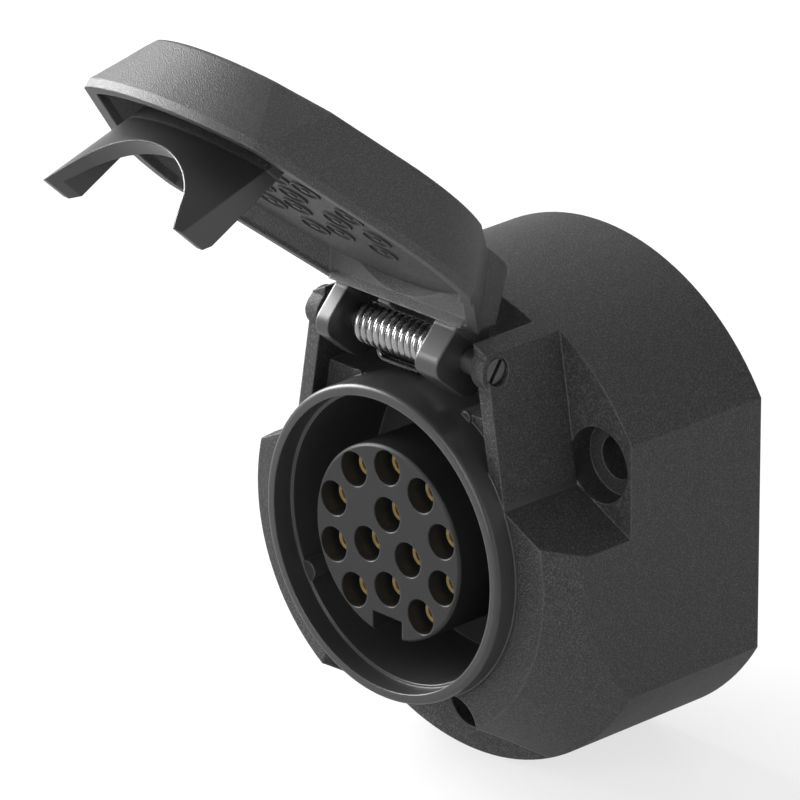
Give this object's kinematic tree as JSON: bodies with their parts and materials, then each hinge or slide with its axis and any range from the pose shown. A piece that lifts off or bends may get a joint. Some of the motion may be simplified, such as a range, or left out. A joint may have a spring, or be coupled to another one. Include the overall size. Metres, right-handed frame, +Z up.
{
  "type": "trailer socket",
  "caption": "Multi-pole trailer socket with a round contact insert, a bayonet collar and a sprung hinged lid with a retaining claw.",
  "frame": {"origin": "where the socket axis meets the rear mounting plane", "axes": "+Y out of the back along the socket axis, so the open face looks along -Y; +Z up towards the lid's hinge; +X to the right seen from the front"},
  "size_m": [0.0702, 0.1044, 0.1322],
  "materials": {
    "black_plastic": "fine spark-eroded grain",
    "insert_plastic": "satin",
    "contact_brass": "satin",
    "steel": "satin",
    "spring_steel": "bright",
    "seal_plastic": "satin",
    "gasket_rubber": "matt"
  },
  "bodies": {
    "socket": {"housing": "black_plastic", "contact_insert": "insert_plastic", "insert_screws": "steel", "terminal_screws": "steel", "rear_gasket": "gasket_rubber", "hinge_pin": "steel", "lid_spring": "spring_steel", "contact_01": "contact_brass", "contact_02": "contact_brass", "contact_03": "contact_brass", "contact_04": "contact_brass", "contact_05": "contact_brass", "contact_06": "contact_brass", "contact_07": "contact_brass", "contact_08": "contact_brass", "contact_09": "contact_brass", "contact_10": "contact_brass", "contact_11": "contact_brass", "contact_12": "contact_brass", "contact_13": "contact_brass"},
    "lid": {"lid": "black_plastic", "lid_seal": "seal_plastic"}
  },
  "joints": [
    {"name": "lid_hinge", "type": "hinge", "parent": "socket", "child": "lid", "pos_m": [0, -0.04252, 0.03324], "axis": [1, 0, 0], "range_deg": [0, 132.6]}
  ]
}
